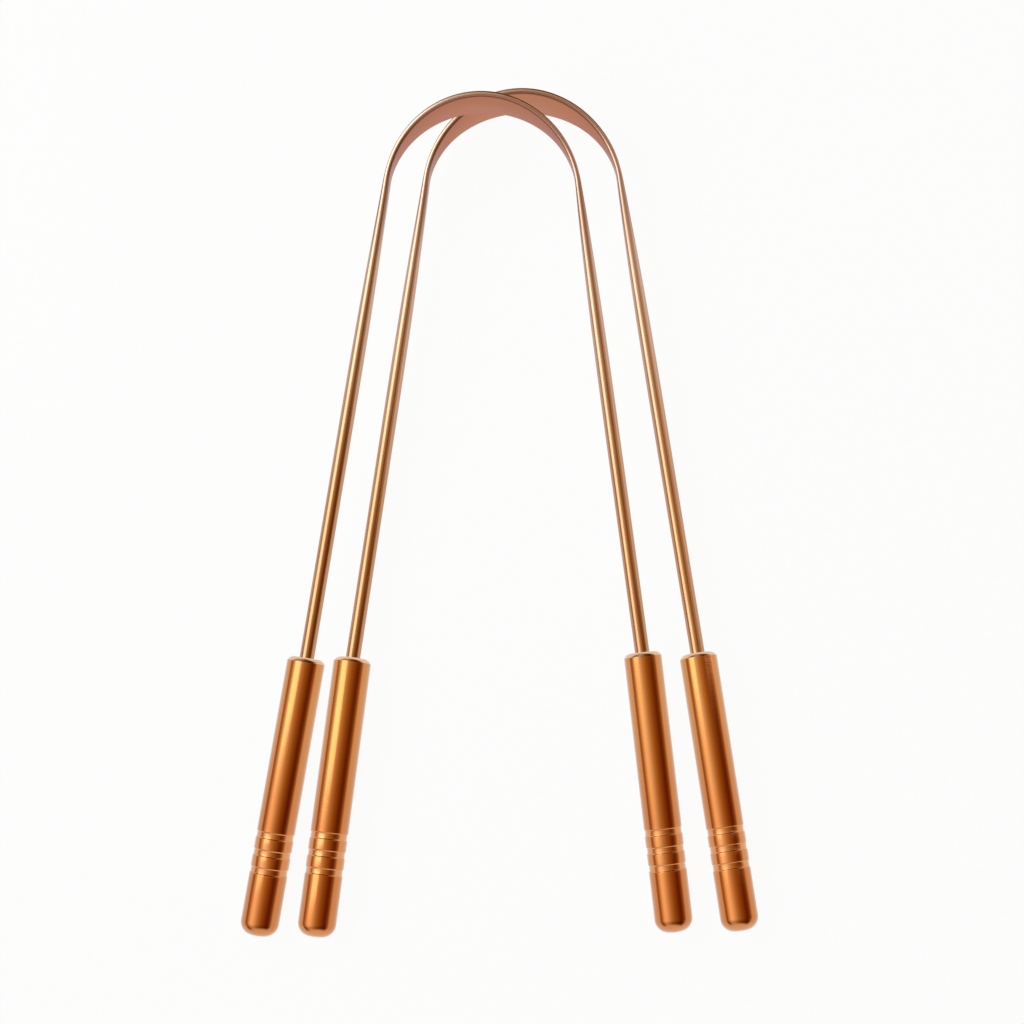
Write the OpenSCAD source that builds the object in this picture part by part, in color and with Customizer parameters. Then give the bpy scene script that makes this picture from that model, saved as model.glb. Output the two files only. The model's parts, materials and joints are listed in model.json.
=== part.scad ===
// A pair of copper tongue scrapers lying one across the other.
// Each is a one-piece bow with two turned handles pressed on its ends.
// The bow is a round rod, forged flat into a wide strap where it bends.
// Millimetres, +Z up, +Y from the handle ends to the crowns of the bows.

/* [Rod and strap] */
// Diameter of the round rod that the bow is made of
rod_d = 2.5; // [2:0.1:3]
// Width of the strap where it is widest
band_w = 11; // [9:0.5:12]
// Thickness of the strap
band_t = 0.85; // [0.6:0.05:1.1]
// Length over which the strap narrows, from its widest place to the round rod
band_fall_l = 40; // [34:1:46]
// How suddenly the strap narrows
band_fall_power = 4.2; // [3:0.1:6]
// How far left of the crown the strap is widest
band_shift = 1; // [0:0.1:2]
// Length of the flattened blend from the shoulder down the arm
blend_l = 50; // [40:1:60]
// Squareness of the strap's section, where 2 is round
band_square_power = 7; // [4:1:8]

/* [Lower scraper] */
// Length from the crown to the handle ends
lower_reach = 148; // [140:0.1:156]
// Radius of the bend at the middle of the strap
lower_bend_r = 17.6; // [17:0.05:19]
// Lean of the left arm away from the middle, in degrees
lower_left_splay_angle = 8.55; // [8:0.05:9.5]
// Lean of the right arm away from the middle, in degrees
lower_right_splay_angle = 8; // [7.5:0.05:9]
// Turn of the left handle further outwards than its rod, in degrees
lower_left_toe_angle = -1.1; // [-2:0.1:2]
// Turn of the right handle further outwards than its rod, in degrees
lower_right_toe_angle = -0.4; // [-2:0.1:2]
// Turn of the whole scraper on the table, in degrees
lower_turn = 0.8; // [0:0.1:1]
// Centre of the bend, across
lower_x = 3.45; // [3:0.05:4.5]
// Centre of the bend, along
lower_y = 56.45; // [55:0.05:58]

/* [Upper scraper] */
// Length from the crown to the handle ends
upper_reach = 144.3; // [138:0.1:150]
// Radius of the bend at the middle of the strap
upper_bend_r = 16.95; // [16.5:0.05:18]
// Lean of the left arm away from the middle, in degrees
upper_left_splay_angle = 9.4; // [9:0.05:10.5]
// Lean of the right arm away from the middle, in degrees
upper_right_splay_angle = 7.15; // [6.5:0.05:8]
// Turn of the left handle further outwards than its rod, in degrees
upper_left_toe_angle = 0.5; // [-2:0.1:2]
// Turn of the right handle further outwards than its rod, in degrees
upper_right_toe_angle = -1.1; // [-2:0.1:2]
// Turn of the whole scraper on the table, in degrees
upper_turn = 0.5; // [0:0.1:1]
// Centre of the bend, across
upper_x = -3.45; // [-4:0.05:-2.5]
// Centre of the bend, along
upper_y = 53.45; // [52:0.05:55]

/* [Handles] */
// Diameter of a handle
handle_d = 6.5; // [6:0.1:7]
// Length of a handle
handle_l = 47.6; // [44:0.1:52]
// Radius of the rounding round the mouth of a handle
mouth_r = 1.2; // [0.6:0.1:1.7]
// Radius of the rounded end
end_r = 2.3; // [1.5:0.1:2.8]
// Depth of the blind bore that holds the rod
bore_l = 14; // [10:1:18]
// Number of ring grooves
groove_n = 3; // [1:1:4]
// Distance from the handle's end to the first groove's middle
groove_from_end = 11; // [8:0.5:14]
// Distance from one groove to the next
groove_pitch = 3; // [2.5:0.1:4]
// Width of a groove
groove_w = 1.3; // [0.8:0.1:1.6]
// Depth of a groove
groove_depth = 0.22; // [0.1:0.02:0.3]

/* [Fits] */
// Gap all round between the rod and its bore
bore_gap = 0.02; // [0.01:0.01:0.05]
// Gap between the rod's end and the bore's floor
floor_gap = 0.2; // [0.1:0.05:0.5]
// Height of the upper strap over the lower one where they cross
lay_gap = 0.15; // [0.1:0.05:0.6]

/* [Hidden] */
$fn = 96;

LEFT = -1;
RIGHT = 1;
// How far the swept part reaches into the round rod, and how much slimmer it ends
sink_l = 0.6;
sink_gap = 0.015;
// How far the rod goes into a bore at its full width, and its slimmer end back out of it
seat_l = 0.25;
end_gap = 0.015;
// Straight stretch before the shoulder over which the strap begins to thicken
blend_lead = 1.5;
// Points round a section, rings on half the bend and rings on a blend
section_n = 28;
bend_rings = 27;
blend_rings = 14;
// The blend's rings stand closer together near the shoulder
ring_spread_power = 1.4;
// How suddenly the blend thickens
blend_power = 3;
// Points on the mouth's rounding, on a groove and on the rounded end
mouth_steps = 6;
groove_steps = 8;
end_steps = 12;

rod_r = rod_d / 2;
handle_r = handle_d / 2;
bore_r = rod_r + bore_gap;
// A groove is an arc of this radius
groove_r = (pow(groove_w / 2, 2) + pow(groove_depth, 2)) / (2 * groove_depth);
// Radius of the flat tip inside the rounded end
tip_r = handle_r - end_r;

// Each scraper is one list of its own sizes
LOWER = [lower_reach, lower_bend_r, lower_left_splay_angle, lower_right_splay_angle,
         lower_left_toe_angle, lower_right_toe_angle];
UPPER = [upper_reach, upper_bend_r, upper_left_splay_angle, upper_right_splay_angle,
         upper_left_toe_angle, upper_right_toe_angle];
function bend_r(s) = s[1];
// Lean of an arm, and of the handle on it
function splay(s, side) = side == LEFT ? s[2] : s[3];
function handle_splay(s, side) = splay(s, side) + (side == LEFT ? s[4] : s[5]);
// From the bend's centre to the line on which the handle ends rest
function heel_y(s) = s[0] - s[1] - end_r;
// Length of half the bend, and of an arm from the shoulder to the handle's mouth
function bend_l(s, side) = bend_r(s) * (90 - splay(s, side)) * PI / 180;
function arm_l(s, side) =
    (s[0] - s[1] + bend_r(s) * sin(splay(s, side)) - handle_l * cos(handle_splay(s, side)))
        / cos(splay(s, side));

// The strap's width at a distance from the crown, which is below zero on the left
function strap_w(d) = rod_d + (band_w - rod_d)
    * pow(max(0, 1 - pow((d + band_shift) / band_fall_l, 2)), band_fall_power);
// How far the strap has thickened into the rod, and its thickness and squareness there
function blend(d, start) =
    1 - pow(1 - min(1, max(0, (d - start + blend_lead) / blend_l)), blend_power);
function strap_t(b) = band_t + (rod_d - band_t) * b;
function strap_power(b) = 2 + (band_square_power - 2) * pow(1 - b, 2);

// The path's point and its outward direction at a distance from the crown
function path_at(s, side, d) =
    let (start = bend_l(s, side), r = bend_r(s), lean = splay(s, side),
         a = min(d, start) / r * 180 / PI, run = max(0, d - start))
    [[side * (r * sin(a) + run * sin(lean)), r * cos(a) - run * cos(lean)],
     [side * sin(a), cos(a)]];

function signed_power(v, p) = sign(v) * pow(abs(v), p);

// One ring of the sweep, with its points across the path and along Z
function ring(s, side, d) =
    let (at = path_at(s, side, d), b = blend(d, bend_l(s, side)),
         t = strap_t(b) / 2 - sink_gap * b, w = strap_w(side * d) / 2 - sink_gap * b,
         p = 2 / strap_power(b))
    [for (i = [0 : section_n - 1])
        let (a = 360 * i / section_n, out = t * signed_power(cos(a), p))
        [at[0].x + at[1].x * out, at[0].y + at[1].y * out, w * signed_power(sin(a), p)]];

// Distances from the crown of the rings on one side, the crown left out
function ring_places(s, side) = let (start = bend_l(s, side), far = blend_l - blend_lead)
    concat([for (i = [1 : bend_rings]) start * i / bend_rings],
           [for (i = [1 : blend_rings])
               start + far * pow(i / blend_rings, ring_spread_power)]);

// The swept strap, from one arm over the crown to the other arm
module strap(s) {
    left = ring_places(s, LEFT);
    right = ring_places(s, RIGHT);
    rings = concat([for (i = [len(left) - 1 : -1 : 0]) ring(s, LEFT, left[i])],
                   [ring(s, RIGHT, 0)],
                   [for (d = right) ring(s, RIGHT, d)]);
    last = len(rings) - 1;
    sides = [for (j = [0 : last - 1], i = [0 : section_n - 1])
        let (a = j * section_n + i, b = j * section_n + (i + 1) % section_n)
        [[a, b + section_n, b], [a, a + section_n, b + section_n]]];
    polyhedron(
        points = [for (r = rings) each r],
        faces = concat([for (q = sides) each q],
                       [[for (i = [0 : section_n - 1]) i]],
                       [[for (i = [section_n - 1 : -1 : 0]) last * section_n + i]]));
}

// Puts what runs along Z from zero onto an arm, from its shoulder outwards
module along_arm(s, side) {
    lean = side * splay(s, side);
    translate([side * bend_r(s) * cos(lean), bend_r(s) * abs(sin(lean)), 0])
        rotate([90, 0, lean]) children();
}

// The same for a handle, from its mouth outwards
module along_handle(s, side) {
    mouth = path_at(s, side, bend_l(s, side) + arm_l(s, side))[0];
    translate([mouth.x, mouth.y, 0])
        rotate([90, 0, side * handle_splay(s, side)]) children();
}

module bow(s) {
    start = blend_l - blend_lead - sink_l;
    strap(s);
    for (side = [LEFT, RIGHT]) {
        along_arm(s, side)
            translate([0, 0, start])
                cylinder(h = arm_l(s, side) + seat_l - start, r = rod_r);
        along_handle(s, side)
            translate([0, 0, -seat_l])
                cylinder(h = bore_l - floor_gap + seat_l, r = rod_r - end_gap);
    }
}

// Outline of half a handle, from its mouth at zero to its rounded end
function groove_points(middle) =
    let (half = asin(groove_w / 2 / groove_r))
    [for (i = [0 : groove_steps])
        let (a = half * (2 * i / groove_steps - 1))
        [handle_r - groove_depth + groove_r * (1 - cos(a)), middle + groove_r * sin(a)]];
function mouth_points() = [for (i = [0 : mouth_steps])
    let (a = 90 * i / mouth_steps)
    [handle_r - mouth_r + mouth_r * sin(a), mouth_r - mouth_r * cos(a)]];
function end_points() = [for (i = [0 : end_steps])
    let (a = 90 * i / end_steps)
    [tip_r + end_r * cos(a), handle_l - end_r + end_r * sin(a)]];
function handle_outline() = concat(
    [[bore_r, 0]],
    mouth_points(),
    [for (i = [groove_n - 1 : -1 : 0])
        each groove_points(handle_l - groove_from_end - i * groove_pitch)],
    end_points(),
    [[0, handle_l], [0, bore_l], [bore_r, bore_l]]);

module handle(s, side) {
    along_handle(s, side) rotate_extrude() polygon(handle_outline());
}

// A scraper leans on its handle ends, which touch the table
function rest_h(tilt) = end_r + tip_r * cos(tilt);
module lay(s, x, y, turn, tilt) {
    translate([x, y, 0]) rotate([0, 0, turn])
        translate([0, -heel_y(s), rest_h(tilt)]) rotate([tilt, 0, 0])
            translate([0, heel_y(s), 0]) children();
}

// The tilt that brings the middle of the strap to a height, far from the heel line:
// far * sin(tilt) - below * cos(tilt) = rise
function tilt_for(far, below, rise) = atan2(below, far) + asin(rise / norm([far, below]));

// The lower scraper's strap touches the table with its edge, where it is widest
lower_tilt = tilt_for(heel_y(LOWER) + lower_bend_r, band_w / 2 - tip_r, -end_r);

// Where the two bends cross in plan, with the upper one moved by its strap's lean
function crossing(shift) =
    let (from = [lower_x, lower_y], to = [upper_x, upper_y + shift],
         gap = norm(to - from), u = (to - from) / gap,
         along = (pow(lower_bend_r, 2) - pow(upper_bend_r, 2) + pow(gap, 2)) / (2 * gap),
         across = sqrt(pow(lower_bend_r, 2) - pow(along, 2)))
    from + along * u + across * [u.y, -u.x];
// Distance from the crown to a point on the bend, which is below zero on the left
function from_crown(p, x, y, r, turn) =
    (turn - atan2(x - p.x, p.y - y)) * r * PI / 180;
function upper_tilt_at(p) =
    let (low_d = from_crown(p, lower_x, lower_y, lower_bend_r, lower_turn),
         high_d = from_crown(p, upper_x, upper_y, upper_bend_r, upper_turn),
         top = rest_h(lower_tilt) + (heel_y(LOWER) + p.y - lower_y) * sin(lower_tilt)
             + strap_w(low_d) / 2 * cos(lower_tilt))
    tilt_for(heel_y(UPPER) + p.y - upper_y, strap_w(high_d) / 2 - tip_r,
             top + lay_gap - end_r);
// The second pass uses the lean that the first one gives
first_tilt = upper_tilt_at(crossing(0));
upper_tilt = upper_tilt_at(crossing(band_w / 2 * sin(first_tilt)));

module lay_lower() {
    lay(LOWER, lower_x, lower_y, lower_turn, lower_tilt) children();
}

module lay_upper() {
    lay(UPPER, upper_x, upper_y, upper_turn, upper_tilt) children();
}

module lower_bow() {
    color("#c78a63") lay_lower() bow(LOWER);
}

module lower_left_handle() {
    color("#b8682a") lay_lower() handle(LOWER, LEFT);
}

module lower_right_handle() {
    color("#b8682a") lay_lower() handle(LOWER, RIGHT);
}

module upper_bow() {
    color("#c78a63") lay_upper() bow(UPPER);
}

module upper_left_handle() {
    color("#b8682a") lay_upper() handle(UPPER, LEFT);
}

module upper_right_handle() {
    color("#b8682a") lay_upper() handle(UPPER, RIGHT);
}

lower_bow();
lower_left_handle();
lower_right_handle();
upper_bow();
upper_left_handle();
upper_right_handle();
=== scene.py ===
"""A pair of copper tongue scrapers, one lying across the other, seen from above."""

import json
import math

import bmesh
import bpy
from mathutils import Matrix, Vector

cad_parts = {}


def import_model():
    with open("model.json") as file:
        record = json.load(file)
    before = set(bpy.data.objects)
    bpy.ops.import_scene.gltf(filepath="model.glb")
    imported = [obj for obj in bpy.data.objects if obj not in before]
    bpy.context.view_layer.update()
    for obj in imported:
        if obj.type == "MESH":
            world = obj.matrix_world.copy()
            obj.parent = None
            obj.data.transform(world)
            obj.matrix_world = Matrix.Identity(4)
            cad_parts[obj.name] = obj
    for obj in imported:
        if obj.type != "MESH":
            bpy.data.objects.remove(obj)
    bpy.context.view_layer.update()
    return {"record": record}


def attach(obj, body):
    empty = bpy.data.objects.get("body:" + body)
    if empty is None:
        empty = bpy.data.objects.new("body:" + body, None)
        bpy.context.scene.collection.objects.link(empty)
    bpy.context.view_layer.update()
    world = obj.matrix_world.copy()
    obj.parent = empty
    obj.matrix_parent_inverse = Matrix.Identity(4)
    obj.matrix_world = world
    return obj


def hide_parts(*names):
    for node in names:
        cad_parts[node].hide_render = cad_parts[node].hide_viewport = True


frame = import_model()

MM = 0.001

# Rod and strap
ROD_R = 1.25 * MM
ROD_END_R = 1.235 * MM
BAND_W = 11 * MM
BAND_T = 0.85 * MM
BAND_FALL_L = 40 * MM
BAND_FALL_POWER = 4.2
# The strap is widest this far to the left of the crown
BAND_SHIFT = 1 * MM
# The strap's rim is a shallow arc that leans so far at its corners
RIM_SPREAD = math.radians(40)
CORNER_R = 0.06 * MM
BLEND_L = 50 * MM
BLEND_LEAD = 1.5 * MM
BLEND_POWER = 3
BEND_R = {"lower": 17.6 * MM, "upper": 16.95 * MM}
# How far each handle turns outwards from its rod
TOE = {
    "lower": {"left": math.radians(-1.1), "right": math.radians(-0.4)},
    "upper": {"left": math.radians(0.5), "right": math.radians(-1.1)},
}

# Handle, measured from its mouth
HANDLE_R = 3.25 * MM
HANDLE_L = 47.6 * MM
MOUTH_R = 1.2 * MM
MOUTH_BEVEL = 0.75 * MM
# The domed bevel's lean from the axis, where it leaves the flat mouth and at the handle's side
MOUTH_LEAN = (math.radians(65), math.radians(25))
END_R = 2.3 * MM
BORE_R = 1.27 * MM
BORE_L = 14 * MM
FLOOR_GAP = 0.2 * MM
GROOVE_N = 3
GROOVE_FROM_END = 11 * MM
GROOVE_PITCH = 3 * MM
GROOVE_W = 1.3 * MM
GROOVE_DEPTH = 0.13 * MM
GROOVE_WALL = 0.26 * MM
# The rod keeps its full width for this far into the handle
SEAT_L = 0.25 * MM

# Fineness of the pieces
HANDLE_SEGMENTS = 128
SECTION_POINTS = 64
STRAP_RING_GAP = 0.4 * MM
ROD_RING_GAP = 1.5 * MM
BEVEL_STEPS = 8
WALL_STEPS = 8
END_STEPS = 12
MERGE_GAP = 0.001 * MM
SHARP_ANGLE = math.radians(20)

# Copper of the handles: colours, depth and lumps a metre of its noise, and fades from the mouth
HANDLE_TONES = ((0.56, 0.16, 0.016, 1), (0.66, 0.215, 0.034, 1))
# Painted highlight: a golden tone towards the mouth stands in for the stronger light that falls near
# the mouths
PAINTED_GOLDEN_HIGHLIGHT = (0.66, 0.27, 0.055, 1)
GROOVE_PALE = (0.85, 0.39, 0.14, 1)
# Painted reflection: a paler tone on the rounded tip stands in for the white table mirrored there
PAINTED_TIP_REFLECTION = (0.8, 0.4, 0.2, 1)
# Painted reflection: a pale tone on the mouth's bevel stands in for the white table and studio
# mirrored there
PAINTED_MOUTH_REFLECTION = (0.88, 0.56, 0.34, 1)
HANDLE_EDGE = (0.85, 1, 1, 1)
TURNED_DEPTH = 0.004 * MM
FINE_LINES = (60, 7000, 60)
COARSE_LINES = (40, 1600, 40)
HANDLE_CLOUDS = (160, 90, 160)
MOUTH_FADE = (0.6 * MM, 0.85 * MM)
COARSE_FADE = (1.6 * MM, 3 * MM)
GOLDEN_FADE = (4 * MM, 34 * MM)
TIP_FADE = (HANDLE_L - 2 * MM, HANDLE_L)

# Copper of the bows: colours, depth and lumps a metre of its noise, and fades from the crown
ROD_TONES = ((0.46, 0.22, 0.085, 1), (0.54, 0.27, 0.115, 1))
NECK_TONES = ((0.5, 0.325, 0.215, 1), (0.6, 0.4, 0.28, 1))
STRAP_TONES = ((0.5, 0.22, 0.115, 1), (0.58, 0.265, 0.15, 1))
# Painted light: a paler tone towards the strap's lower edge stands in for shading that runs from a
# darker top to a lighter bottom
PAINTED_STRAP_LIGHT = (0.7, 0.38, 0.25, 1)
RIM_PALE = (0.7, 0.5, 0.41, 1)
# Painted shade: a dark band on the strap's face just below its rim stands in for the shade of the
# rim's bevel
PAINTED_RIM_SHADE = (0.12, 0.035, 0.018, 1)
# Painted reflection: the rim's corners are darker, for the dark studio that they mirror
PAINTED_CORNER_REFLECTION = (0.2, 0.08, 0.05, 1)
BOW_EDGE = (0.64, 0.48, 0.5, 1)
GRAIN_DEPTH = 0.003 * MM
GRAIN = (5000, 130, 5000)
BOW_CLOUDS = (300, 110, 300)
STRAP_FADE = (14 * MM, 24 * MM)
ROD_FADE = (28 * MM, 95 * MM)
PAINTED_RIM_SHADE_FADE = (24 * MM, 40 * MM)
WORN_FADE = (30 * MM, 55 * MM)
WAX_FADE = (18 * MM, 40 * MM)
# Fades by height from the strap's middle, by depth below its rim and by distance across the rim
LOW_FADE = (-5 * MM, 4 * MM)
DEPTH_FADE = (0.4 * MM, 1.3 * MM)
CORNER_FADE = (0.2 * MM, 0.38 * MM)

WAX_ROUGHNESS = 0.17
WHITE = (1, 1, 1, 1)

# The photograph's width, and the camera's height above the table, in its pixels
PHOTO_PX = 1024
HEIGHT_PX = 2000
# The pixel straight below the camera
FOOT_PX = (580, 870)
# The size of a pixel, and the table's point, in the middle of the picture
PX = 0.1775 * MM
TABLE_CENTRE = Vector((1.6 * MM, -0.7 * MM, 0))
SENSOR_W = 36
CLIP_START = 0.01

# Table: half its width in metres, its colour, and how white the camera sees it
TABLE_REACH = 3
TABLE_GREY = (0.9, 0.9, 0.9, 1)
TABLE_WHITENESS = 0.95

# Brightness of the studio by its angle in degrees from straight up, towards the right
STUDIO = (
    (-180, 0.9),
    (-100, 0.9),
    (-90, 0.45),
    (-78, 0.45),
    (-66, 0.9),
    (-56, 1.4),
    (-47, 1.6),
    (-36, 1.4),
    (-24, 1.02),
    (-8, 0.7),
    (12, 0.45),
    (33, 0.28),
    (46, 0.17),
    (57, 0.18),
    (72, 0.45),
    (90, 0.9),
    (180, 0.9),
)
BRIGHTEST = max(light for angle, light in STUDIO)
# Powers of the dim brightness for red, green and blue, which make it warm
WARMTH = (1, 1.8, 3.4)
# How much of the light is lost towards the handles' ends, and far back behind the straps
FRONT_LOSS = 0.5
BACK_LOSS = 0.66
# The pale strip at the back gets brighter in two steps
STRIP_STEPS = (0.1, 0.4)
# Fades by a part of the ray's direction: towards the front, the back, the right or up
FRONT_FADE = (0.25, 0.6)
BACK_FADE = (0.46, 0.56)
STRIP_FADES = ((0.12, 0.25), (0.3, 0.36))
WHITE_FRONT_FADE = (0.66, 0.9)
WHITE_BACK_FADE = (0.3, 0.6)
WHITE_RIGHT_FADE = (-0.7, 0.1)
WHITE_UP_FADE = (0.02, 0.3)

SIDES = {"left": -1, "right": 1}


class Value:
    """A shader socket that adds Math nodes when it is used in an expression."""

    def __init__(self, shader, socket):
        self.shader = shader
        self.socket = socket

    def __add__(self, other):
        return self.shader.math("ADD", self, other)

    def __radd__(self, other):
        return self.shader.math("ADD", other, self)

    def __sub__(self, other):
        return self.shader.math("SUBTRACT", self, other)

    def __rsub__(self, other):
        return self.shader.math("SUBTRACT", other, self)

    def __mul__(self, other):
        return self.shader.math("MULTIPLY", self, other)

    def __rmul__(self, other):
        return self.shader.math("MULTIPLY", other, self)

    def output(self, place):
        """Another output of the same node."""
        return Value(self.shader, self.socket.node.outputs[place])


class Shader:
    """The nodes of one material or of the studio round the object."""

    def __init__(self, owner):
        owner.use_nodes = True
        self.owner = owner
        self.tree = owner.node_tree
        self.tree.nodes.clear()

    def node(self, kind, inputs=(), stops=(), **settings):
        """Adds a node: its settings and colour stops first, then its inputs, by place or by name."""
        made = self.tree.nodes.new(kind)
        for name, setting in settings.items():
            setattr(made, name, setting)
        for i, (place, colour) in enumerate(stops):
            elements = made.color_ramp.elements
            element = elements[i] if i < 2 else elements.new(1)
            element.position = place
            element.color = (*colour, 1)
        named = inputs if isinstance(inputs, dict) else dict(enumerate(inputs))
        for key, given in named.items():
            if isinstance(given, Value):
                self.tree.links.new(given.socket, made.inputs[key])
            else:
                made.inputs[key].default_value = given
        if made.outputs:
            return Value(self, made.outputs[0])

    def math(self, operation, *values):
        """What a Math node makes of the values."""
        return self.node("ShaderNodeMath", values, operation=operation)

    def largest(self, first, *others):
        """The largest of the values."""
        for other in others:
            first = self.math("MAXIMUM", first, other)
        return first

    def blend(self, share, first, second):
        """A mix of two colours."""
        inputs = {0: share, 6: first, 7: second}
        return self.node("ShaderNodeMix", inputs, data_type="RGBA").output(2)

    def noise(self, place, scales, detail):
        """Noise of so many lumps a metre in each of the three directions."""
        stretched = self.node("ShaderNodeVectorMath", [place, scales], operation="MULTIPLY")
        return self.node("ShaderNodeTexNoise", {"Vector": stretched, "Scale": 1, "Detail": detail})

    def ease(self, value, start, end):
        """0 below start, 1 above end and smooth between."""
        inputs = {"Value": value, "From Min": start, "From Max": end}
        return self.node("ShaderNodeMapRange", inputs, interpolation_type="SMOOTHSTEP")

    def layer(self, name):
        """A value that the piece's own points carry."""
        return self.node("ShaderNodeAttribute", attribute_name=name).output("Fac")

    def ray_kinds(self):
        """Three values that are 1 for rays from the camera, off gloss and through glass."""
        camera_ray = self.node("ShaderNodeLightPath")
        glossy_ray = camera_ray.output("Is Glossy Ray")
        return camera_ray, glossy_ray, camera_ray.output("Is Transmission Ray")

    def straight_place(self):
        """Where a point lay before the piece was bent: across, along and out of the plane."""
        return self.node("ShaderNodeAttribute", attribute_name="straight").output("Vector")

    def copper(self, colour, roughness, height, depth, wax, edge):
        """The end of both copper finishes: bare metal under a thin clear wax."""
        bump = self.node("ShaderNodeBump", {"Height": height, "Strength": 1, "Distance": depth})
        inputs = {
            "Base Color": colour,
            "Metallic": 1,
            "Roughness": roughness,
            "Specular Tint": edge,
            "Normal": bump,
            "Coat Weight": wax,
            "Coat Roughness": WAX_ROUGHNESS,
        }
        surface = self.node("ShaderNodeBsdfPrincipled", inputs)
        self.node("ShaderNodeOutputMaterial", [surface])
        return self.owner


def turned_copper():
    """Deep orange copper, golden towards the mouth as a painted highlight, with a lathe's fine lines
    round the handle.
    """
    shader = Shader(bpy.data.materials.new("turned_copper"))
    place = shader.straight_place()
    across = shader.node("ShaderNodeSeparateXYZ", [place])
    along = across.output("Y")
    out = across.output("Z")
    radius = shader.math("SQRT", across * across + out * out)
    lines = shader.noise(place, FINE_LINES, 2)
    coarse_lines = shader.noise(place, COARSE_LINES, 2)
    clouds = shader.noise(place, HANDLE_CLOUDS, 4)

    first = HANDLE_L - GROOVE_FROM_END - GROOVE_PITCH * (GROOVE_N - 1) - GROOVE_W
    last = HANDLE_L - GROOVE_FROM_END + GROOVE_W
    grooved = shader.ease(along, first, first + GROOVE_W)
    grooved = grooved * (1 - shader.ease(along, last - GROOVE_W, last))
    floor_r = HANDLE_R - GROOVE_DEPTH
    cut = grooved * (1 - shader.ease(radius, floor_r, HANDLE_R - GROOVE_DEPTH / 3))
    mouth = 1 - shader.ease(along, *MOUTH_FADE)
    coarse = 1 - shader.ease(along, *COARSE_FADE)
    golden = 1 - shader.ease(along, *GOLDEN_FADE)
    tip = shader.ease(along, *TIP_FADE)

    colour = shader.blend(clouds, *HANDLE_TONES)
    colour = shader.blend(grooved * 0.2 + cut * 0.3, colour, GROOVE_PALE)
    # Painted highlight, golden towards the mouth
    colour = shader.blend(golden * 0.5, colour, PAINTED_GOLDEN_HIGHLIGHT)
    # Painted reflection on the rounded tip
    colour = shader.blend(tip * 0.4, colour, PAINTED_TIP_REFLECTION)
    # Painted reflection on the mouth's bevel
    colour = shader.blend(mouth * 0.7, colour, PAINTED_MOUTH_REFLECTION)
    roughness = 0.12 + 0.04 * clouds + 0.05 * lines + 0.06 * cut
    height = (lines + coarse_lines) * (1 + 1.5 * grooved + 2 * coarse)
    return shader.copper(colour, roughness, height, TURNED_DEPTH, 1, HANDLE_EDGE)


def forged_copper():
    """Pink copper on the strap, paler on the necks and warmer down the rods, with fine grain."""
    shader = Shader(bpy.data.materials.new("forged_copper"))
    place = shader.straight_place()
    across = shader.node("ShaderNodeSeparateXYZ", [place])
    along = across.output("Y")
    height = across.output("Z")
    away = shader.math("ABSOLUTE", along)
    rim = shader.layer("rim")
    depth = shader.layer("below_rim")
    grain = shader.noise(place, GRAIN, 2)
    clouds = shader.noise(place, BOW_CLOUDS, 4)

    strap = 1 - shader.ease(away, *STRAP_FADE)
    rod = shader.ease(away, *ROD_FADE)
    low = strap * (1 - shader.ease(height, *LOW_FADE))
    # Painted shade in a band just below the rim, near the crown
    painted_rim_shade = (1 - shader.ease(depth, *DEPTH_FADE)) * (1 - rim)
    painted_rim_shade = painted_rim_shade * (1 - shader.ease(away, *PAINTED_RIM_SHADE_FADE))
    worn = rim * (1 - shader.ease(away, *WORN_FADE))
    corner = rim * shader.ease(shader.math("ABSOLUTE", across), *CORNER_FADE)

    colour = shader.blend(clouds, *NECK_TONES)
    colour = shader.blend(rod, colour, shader.blend(clouds, *ROD_TONES))
    colour = shader.blend(strap, colour, shader.blend(clouds, *STRAP_TONES))
    # Painted light, paler towards the strap's lower edge
    colour = shader.blend(low * 0.5, colour, PAINTED_STRAP_LIGHT)
    colour = shader.blend(painted_rim_shade * 0.85, colour, PAINTED_RIM_SHADE)
    colour = shader.blend(worn * 0.7, colour, RIM_PALE)
    # Painted dark reflection along the rim's corners
    colour = shader.blend(corner * 0.7, colour, PAINTED_CORNER_REFLECTION)
    roughness = 0.15 + 0.08 * clouds + 0.05 * grain + 0.06 * strap
    wax = shader.largest(shader.ease(away, *WAX_FADE), rim)
    return shader.copper(colour, roughness, grain, GRAIN_DEPTH, wax, BOW_EDGE)


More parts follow.
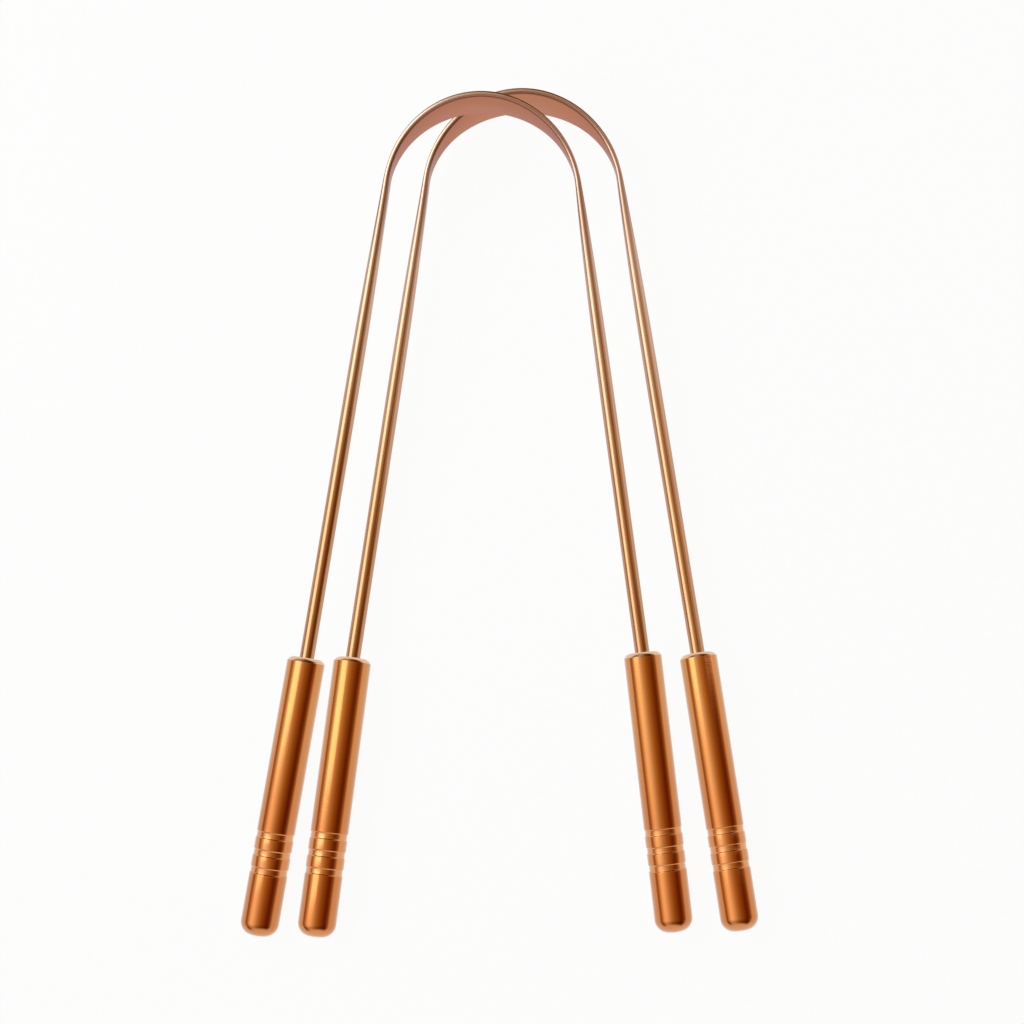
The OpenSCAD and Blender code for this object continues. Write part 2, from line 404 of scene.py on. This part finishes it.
class Scraper:
    """Where one scraper lies, worked out from the axes of its two handle mounts."""

    def __init__(self, name):
        self.name = name
        self.body = f"{name}_scraper"
        self.bend_r = BEND_R[name]
        mounts = {m["name"]: m for m in frame["record"]["mounts"]}
        held = {side: mounts[f"{name}_{side}_grip"] for side in SIDES}
        self.along = {side: Vector(held[side]["axis"]).normalized() for side in SIDES}
        self.up = self.along["left"].cross(self.along["right"]).normalized()
        self.mouth = {}
        for side in SIDES:
            plain = held[side]["dims"]["length_mm"] * MM
            back = self.along[side] * (plain / 2 + MOUTH_R)
            self.mouth[side] = Vector(held[side]["pos_m"]) - back
        self.rod = {side: self.rod_direction(side) for side in SIDES}
        self.find_bend()

    def rod_direction(self, side):
        """The line of an arm, which its handle leaves by the toe angle."""
        turn = Matrix.Rotation(-SIDES[side] * TOE[self.name][side], 3, self.up)
        return turn @ self.along[side]

    def find_bend(self):
        """The bend's centre lies one bend radius inside both arms, and its axes halve their angle."""
        left, right = self.rod["left"], self.rod["right"]
        self.forward = -(left + right).normalized()
        self.across = self.forward.cross(self.up)
        inside = {side: self.rod[side].cross(self.up) * SIDES[side] for side in SIDES}
        start = {side: self.mouth[side] + inside[side] * self.bend_r for side in SIDES}
        gap = start["right"] - start["left"]
        run = gap.cross(right).dot(self.up) / left.cross(right).dot(self.up)
        self.centre = start["left"] + left * run
        self.lean = left.angle(right) / 2

    def bend_l(self):
        """Half the bend, from the crown to a shoulder."""
        return self.bend_r * (math.pi / 2 - self.lean)

    def arm_l(self, side):
        """The bare arm, from the shoulder to the handle's mouth."""
        return (self.mouth[side] - self.centre).dot(self.rod[side])

    def path(self, side, distance):
        """A point of the middle line and its outward direction, at a distance from the crown."""
        sign = SIDES[side]
        start = self.bend_l()
        mouth = start + self.arm_l(side)
        angle = min(distance, start) / self.bend_r
        out = self.across * sign * math.sin(angle) + self.forward * math.cos(angle)
        point = self.centre + out * self.bend_r
        point += self.rod[side] * max(0, min(distance, mouth) - start)
        point += self.along[side] * max(0, distance - mouth)
        return point, out


def strap_half_width(distance):
    """Half the strap's width at a distance from the crown, which is below zero on the left."""
    fall = max(0, 1 - ((distance + BAND_SHIFT) / BAND_FALL_L) ** 2) ** BAND_FALL_POWER
    return ROD_R + (BAND_W / 2 - ROD_R) * fall


def thickened(distance, start):
    """How far the strap has thickened into the round rod, from 0 to 1."""
    share = min(1, max(0, (distance - start + BLEND_LEAD) / BLEND_L))
    return 1 - (1 - share) ** BLEND_POWER


def section_point(angle, half_w, half_t, corner_r):
    """A point of the section: a shallow round rim, a tight corner and a flat face."""
    lean = math.asin(abs(math.sin(angle)))
    rim_r = (half_t - corner_r) / math.sin(RIM_SPREAD)
    rim = min(lean, RIM_SPREAD)
    across = rim_r * math.sin(rim) + corner_r * math.sin(lean)
    height = half_w - corner_r - rim_r * (1 - math.cos(rim)) + corner_r * math.cos(lean)
    return math.copysign(across, math.sin(angle)), math.copysign(height, math.cos(angle))


def add_ring(bm, scraper, side, distance, slim):
    """One closed ring of the bow, with each point's straight place and where the rim is."""
    point, out = scraper.path(side, distance)
    share = thickened(distance, scraper.bend_l())
    half_t = BAND_T / 2 + (ROD_R - BAND_T / 2) * share
    corner_r = CORNER_R + (ROD_R - CORNER_R) * share
    half_w = strap_half_width(SIDES[side] * distance)
    straight = bm.verts.layers.float_vector["straight"]
    rim = bm.verts.layers.float["rim"]
    below_rim = bm.verts.layers.float["below_rim"]
    ring = bmesh.ops.create_circle(bm, segments=SECTION_POINTS, radius=1)["verts"]
    for i, v in enumerate(ring):
        angle = 2 * math.pi * i / SECTION_POINTS
        across, height = section_point(angle, half_w, half_t, corner_r)
        v[straight] = (across, SIDES[side] * distance, height)
        v[rim] = (1 - share) * (abs(math.tan(angle)) < math.tan(RIM_SPREAD))
        v[below_rim] = half_w - height
        v.co = point + (out * across + scraper.up * height) * slim
    return list({e for v in ring for e in v.link_edges})


def ring_places(scraper, side):
    """Distances of the rings from the crown, close on the strap and wider apart on the rod."""
    flat = scraper.bend_l() + BLEND_L - BLEND_LEAD
    mouth = scraper.bend_l() + scraper.arm_l(side)
    end = mouth + BORE_L - FLOOR_GAP
    flat_n = math.ceil(flat / STRAP_RING_GAP)
    rod_n = math.ceil((mouth - flat) / ROD_RING_GAP)
    places = [(flat * i / flat_n, 1) for i in range(flat_n)]
    places += [(flat + (mouth + SEAT_L - flat) * i / rod_n, 1) for i in range(rod_n + 1)]
    slim = ROD_END_R / ROD_R
    return places + [(mouth + SEAT_L, slim), (end, slim)]


def bow(scraper):
    """The strap and both rods, bridged from ring to ring and closed at the two rod ends."""
    bm = bmesh.new()
    bm.verts.layers.float_vector.new("straight")
    bm.verts.layers.float.new("rim")
    bm.verts.layers.float.new("below_rim")
    left = [("left", *place) for place in ring_places(scraper, "left")]
    right = [("right", *place) for place in ring_places(scraper, "right")[1:]]
    edges = [add_ring(bm, scraper, *place) for place in left[::-1] + right]
    for first, second in zip(edges, edges[1:]):
        bmesh.ops.bridge_loops(bm, edges=first + second)
    bmesh.ops.holes_fill(bm, edges=edges[0] + edges[-1])
    bmesh.ops.recalc_face_normals(bm, faces=bm.faces)
    add_piece(bm, f"{scraper.name}_fine_bow", scraper, f"{scraper.name}_bow", "bow_copper")


def handle_outline():
    """Half of a handle's section, from the mouth of the bore round the outside to its floor."""
    points = [(BORE_R, 0)]
    start, end = MOUTH_LEAN
    crown_r = MOUTH_BEVEL / (math.sin(start) - math.sin(end))
    for step in range(BEVEL_STEPS + 1):
        lean = start + (end - start) * step / BEVEL_STEPS
        points.append((
            HANDLE_R - crown_r * (math.cos(end) - math.cos(lean)),
            crown_r * (math.sin(start) - math.sin(lean)),
        ))
    falls = [(1 - math.cos(math.pi * step / WALL_STEPS)) / 2 for step in range(WALL_STEPS + 1)]
    for i in reversed(range(GROOVE_N)):
        middle = HANDLE_L - GROOVE_FROM_END - i * GROOVE_PITCH
        for step, fall in enumerate(falls):
            past = GROOVE_WALL * step / WALL_STEPS
            points.append((HANDLE_R - fall * GROOVE_DEPTH, middle - GROOVE_W / 2 + past))
        for step, fall in enumerate(reversed(falls)):
            left = GROOVE_WALL * (1 - step / WALL_STEPS)
            points.append((HANDLE_R - fall * GROOVE_DEPTH, middle + GROOVE_W / 2 - left))
    for step in range(END_STEPS + 1):
        angle = math.pi / 2 * step / END_STEPS
        points.append((
            HANDLE_R - END_R + END_R * math.cos(angle),
            HANDLE_L - END_R + END_R * math.sin(angle),
        ))
    return points + [(0, HANDLE_L), (0, BORE_L), (BORE_R, BORE_L)]


def handle(scraper, side):
    """One handle, spun from its outline and pushed on the rod up to its mouth."""
    bm = bmesh.new()
    straight = bm.verts.layers.float_vector.new("straight")
    outline = [bm.verts.new((r, 0, z)) for r, z in handle_outline()]
    edges = [bm.edges.new(pair) for pair in zip(outline, outline[1:] + outline[:1])]
    bmesh.ops.spin(
        bm,
        geom=outline + edges,
        cent=(0, 0, 0),
        axis=(0, 0, 1),
        angle=2 * math.pi,
        steps=HANDLE_SEGMENTS,
        use_merge=True,
    )
    bmesh.ops.remove_doubles(bm, verts=bm.verts, dist=MERGE_GAP)
    bmesh.ops.recalc_face_normals(bm, faces=bm.faces)
    for v in bm.verts:
        v[straight] = (v.co.x, v.co.z, v.co.y)
    turn = Vector((0, 0, 1)).rotation_difference(scraper.along[side]).to_matrix().to_4x4()
    bm.transform(Matrix.Translation(scraper.mouth[side]) @ turn)
    name = f"{scraper.name}_{side}_fine_handle"
    add_piece(bm, name, scraper, f"{scraper.name}_{side}_handle", "handle_copper")


def add_piece(bm, name, scraper, cad_node, slot):
    """Makes the piece an object that rides on the scraper's body in place of the CAD node."""
    mesh = bpy.data.meshes.new(name)
    bm.to_mesh(mesh)
    bm.free()
    for face in mesh.polygons:
        face.use_smooth = True
    mesh.set_sharp_from_angle(angle=SHARP_ANGLE)
    mesh.materials.append(FINISHES[slot])
    piece = bpy.data.objects.new(name, mesh)
    bpy.context.scene.collection.objects.link(piece)
    # The soft light of the photograph shows no piece mirrored in another
    piece.visible_glossy = False
    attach(piece, scraper.body)
    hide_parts(cad_node)


def white_table():
    """White to the camera, to mirrors and to glass, but for a faint shadow of the object."""
    shader = Shader(bpy.data.materials.new("white_table"))
    lit = shader.node("ShaderNodeBsdfDiffuse", {"Color": TABLE_GREY})
    white = shader.node("ShaderNodeEmission", {"Color": WHITE, "Strength": 1})
    seen = shader.largest(*shader.ray_kinds()) * TABLE_WHITENESS
    table = shader.node("ShaderNodeMixShader", [seen, lit, white])
    shader.node("ShaderNodeOutputMaterial", [table])
    return shader.owner


def floor():
    """The flat table under the object."""
    bm = bmesh.new()
    bmesh.ops.create_grid(bm, x_segments=1, y_segments=1, size=TABLE_REACH)
    mesh = bpy.data.meshes.new("floor")
    bm.to_mesh(mesh)
    bm.free()
    mesh.materials.append(white_table())
    plane = bpy.data.objects.new("floor", mesh)
    bpy.context.scene.collection.objects.link(plane)


def curtains(shader, right, ahead, up):
    """Light that is strong up on the left, dim and warm on the right, and less at both ends."""
    turn = shader.math("ARCTAN2", right, up) * (0.5 / math.pi) + 0.5
    stops = []
    for angle, light in STUDIO:
        colour = [light ** (power if light < 1 else 1) / BRIGHTEST for power in WARMTH]
        stops.append((angle / 360 + 0.5, colour))
    around = shader.node("ShaderNodeValToRGB", [turn], stops)
    front = shader.ease(0 - ahead, *FRONT_FADE) * FRONT_LOSS
    back = shader.ease(ahead, *BACK_FADE) * BACK_LOSS
    strength = BRIGHTEST * (1 - (front + back))
    return shader.node("ShaderNodeBackground", {"Color": around, "Strength": strength})


def back_strip(shader, ahead):
    """A pale strip at the back, which the rims of the straps mirror."""
    steps = zip(STRIP_STEPS, STRIP_FADES)
    first, second = [step * shader.ease(ahead, *fade) for step, fade in steps]
    strength = (first + second) * (1 - shader.ease(ahead, *BACK_FADE))
    return shader.node("ShaderNodeBackground", {"Color": WHITE, "Strength": strength})


def whiteness(shader, right, ahead, up):
    """White to the camera, and to mirror rays that go far to the front or low to the right."""
    camera_ray, glossy_ray, transmission_ray = shader.ray_kinds()
    front = shader.ease(0 - ahead, *WHITE_FRONT_FADE)
    low = 1 - shader.ease(up, *WHITE_UP_FADE)
    low = low * (1 - shader.ease(ahead, *WHITE_BACK_FADE)) * shader.ease(right, *WHITE_RIGHT_FADE)
    pale = glossy_ray * shader.largest(front, low)
    return shader.largest(camera_ray, pale, transmission_ray)


def world():
    """The studio: the light that it gives, and the white that the camera sees."""
    made = bpy.data.worlds.new("studio")
    bpy.context.scene.world = made
    shader = Shader(made)
    # In a world, the first texture coordinate is the direction of the ray
    direction = shader.node("ShaderNodeTexCoord")
    right = shader.node("ShaderNodeSeparateXYZ", [direction])
    ahead = right.output("Y")
    up = right.output("Z")
    lights = [curtains(shader, right, ahead, up), back_strip(shader, ahead)]
    lit = shader.node("ShaderNodeAddShader", lights)
    white = shader.node("ShaderNodeBackground", {"Color": WHITE, "Strength": 1})
    share = whiteness(shader, right, ahead, up)
    shown = shader.node("ShaderNodeMixShader", [share, lit, white])
    shader.node("ShaderNodeOutputWorld", [shown])


def soft_box(name, centre, facing, size, brightness):
    """A hidden lamp as large as a wall, where a brightness of 1 is white."""
    data = bpy.data.lights.new(name, "AREA")
    data.shape = "RECTANGLE"
    width, height = size
    data.size = width
    data.size_y = height
    data.energy = brightness * math.pi * width * height
    lamp = bpy.data.objects.new(name, data)
    bpy.context.scene.collection.objects.link(lamp)
    lamp.location = centre
    lamp.rotation_euler = Vector(facing).to_track_quat("-Z", "Y").to_euler()
    lamp.visible_camera = False


def lights():
    """A wide lamp up on the left, and a wall of light on either side of the rods and the strap."""
    soft_box(
        "key_lamp",
        centre=(-0.165, 0.060, 0.180),
        facing=(0.68, 0, -0.73),
        size=(0.240, 0.135),
        brightness=1.45,
    )
    soft_box(
        "right_wall",
        centre=(0.200, 0.080, 0.145),
        facing=(-1, 0, 0),
        size=(0.150, 0.250),
        brightness=0.4,
    )
    soft_box(
        "left_wall",
        centre=(-0.110, 0.072, 0.038),
        facing=(1, 0, 0),
        size=(0.150, 0.066),
        brightness=0.14,
    )


def camera():
    """Stands above the handles' ends, tilted and shifted to the middle of the table."""
    middle = PHOTO_PX / 2
    aside = FOOT_PX[0] - middle
    back = FOOT_PX[1] - middle
    data = bpy.data.cameras.new("photo_camera")
    data.sensor_width = SENSOR_W
    data.lens = SENSOR_W * math.hypot(back, HEIGHT_PX) / PHOTO_PX
    data.shift_x = -aside / PHOTO_PX
    data.clip_start = CLIP_START
    made = bpy.data.objects.new("photo_camera", data)
    bpy.context.scene.collection.objects.link(made)
    made.location = TABLE_CENTRE + Vector((aside, -back, HEIGHT_PX)) * PX
    made.rotation_euler = (math.atan2(back, HEIGHT_PX), 0, 0)
    bpy.context.scene.camera = made


FINISHES = {"bow_copper": forged_copper(), "handle_copper": turned_copper()}

camera()
floor()
world()
lights()

for scraper in (Scraper("lower"), Scraper("upper")):
    bow(scraper)
    for side in SIDES:
        handle(scraper, side)

bpy.context.scene.view_settings.view_transform = "Standard"
